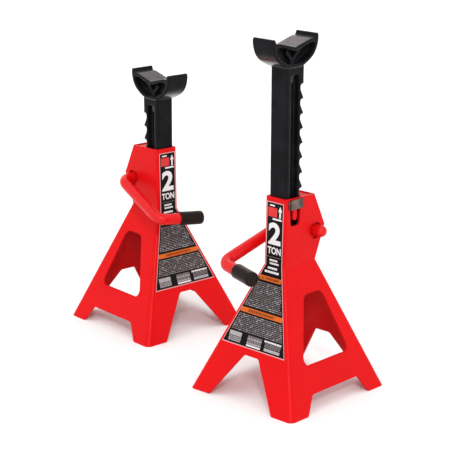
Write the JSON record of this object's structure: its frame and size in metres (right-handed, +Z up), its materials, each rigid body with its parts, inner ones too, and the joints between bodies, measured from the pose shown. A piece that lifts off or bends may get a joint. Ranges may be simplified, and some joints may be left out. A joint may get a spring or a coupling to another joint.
{
  "type": "axle jack stand pair",
  "caption": "Pair of ratcheting axle stands: four-leg sheet base, toothed lifting bar with a cradle saddle, bent locking handle with a pawl, one stand low and one raised.",
  "frame": {"origin": "floor under the middle of the pair's bounding box", "axes": "+Z up, along the lifting bars; -Y is the labelled front of the raised stand, +X its right"},
  "size_m": [0.378, 0.1929, 0.3475],
  "materials": {
    "red_paint": "gloss enamel",
    "black_casting": "satin black paint",
    "plain_steel": "plain",
    "zinc": "zinc plated",
    "black_grip": "smooth vinyl",
    "label": "printed film"
  },
  "bodies": {
    "raised_base": {"raised_base_shell": "red_paint", "raised_rear_seam_weld": "red_paint", "raised_top_guide_plate": "red_paint", "raised_front_guide_plate": "red_paint", "raised_rear_guide_channel": "red_paint", "raised_collar_left": "red_paint", "raised_collar_right": "red_paint", "raised_spring_clip": "zinc", "raised_front_label": "label"},
    "raised_bar": {"raised_ratchet_bar": "black_casting", "raised_stop_pin": "plain_steel"},
    "raised_handle": {"raised_handle_rod": "red_paint", "raised_handle_grip": "black_grip", "raised_pawl": "red_paint", "raised_pawl_weld": "red_paint"},
    "low_base": {"low_base_shell": "red_paint", "low_rear_seam_weld": "red_paint", "low_top_guide_plate": "red_paint", "low_front_guide_plate": "red_paint", "low_rear_guide_channel": "red_paint", "low_collar_left": "red_paint", "low_collar_right": "red_paint", "low_spring_clip": "zinc", "low_front_label": "label"},
    "low_bar": {"low_ratchet_bar": "black_casting", "low_stop_pin": "plain_steel"},
    "low_handle": {"low_handle_rod": "red_paint", "low_handle_grip": "black_grip", "low_pawl": "red_paint", "low_pawl_weld": "red_paint"}
  },
  "joints": [
    {"name": "raised_bar_lift", "type": "slide", "parent": "raised_base", "child": "raised_bar", "axis": [0, 0, 1], "range_m": [-0.071, 0.071]},
    {"name": "raised_handle_turn", "type": "hinge", "parent": "raised_base", "child": "raised_handle", "pos_m": [0.12271, -0.0022, 0.1568], "axis": [-1, 0, 0], "range_deg": [-14, 28]},
    {"name": "low_bar_lift", "type": "slide", "parent": "low_base", "child": "low_bar", "axis": [0, 0, 1], "range_m": [0, 0.142]},
    {"name": "low_handle_turn", "type": "hinge", "parent": "low_base", "child": "low_handle", "pos_m": [-0.13792, 0.02643, 0.1568], "axis": [-0.1028, -0.9947, 0], "range_deg": [-14, 28]},
    {"name": "low_stand_carry", "type": "slide", "parent": "raised_base", "child": "low_base", "axis": [-1, 0, 0], "range_m": [0, 0.3]}
  ]
}
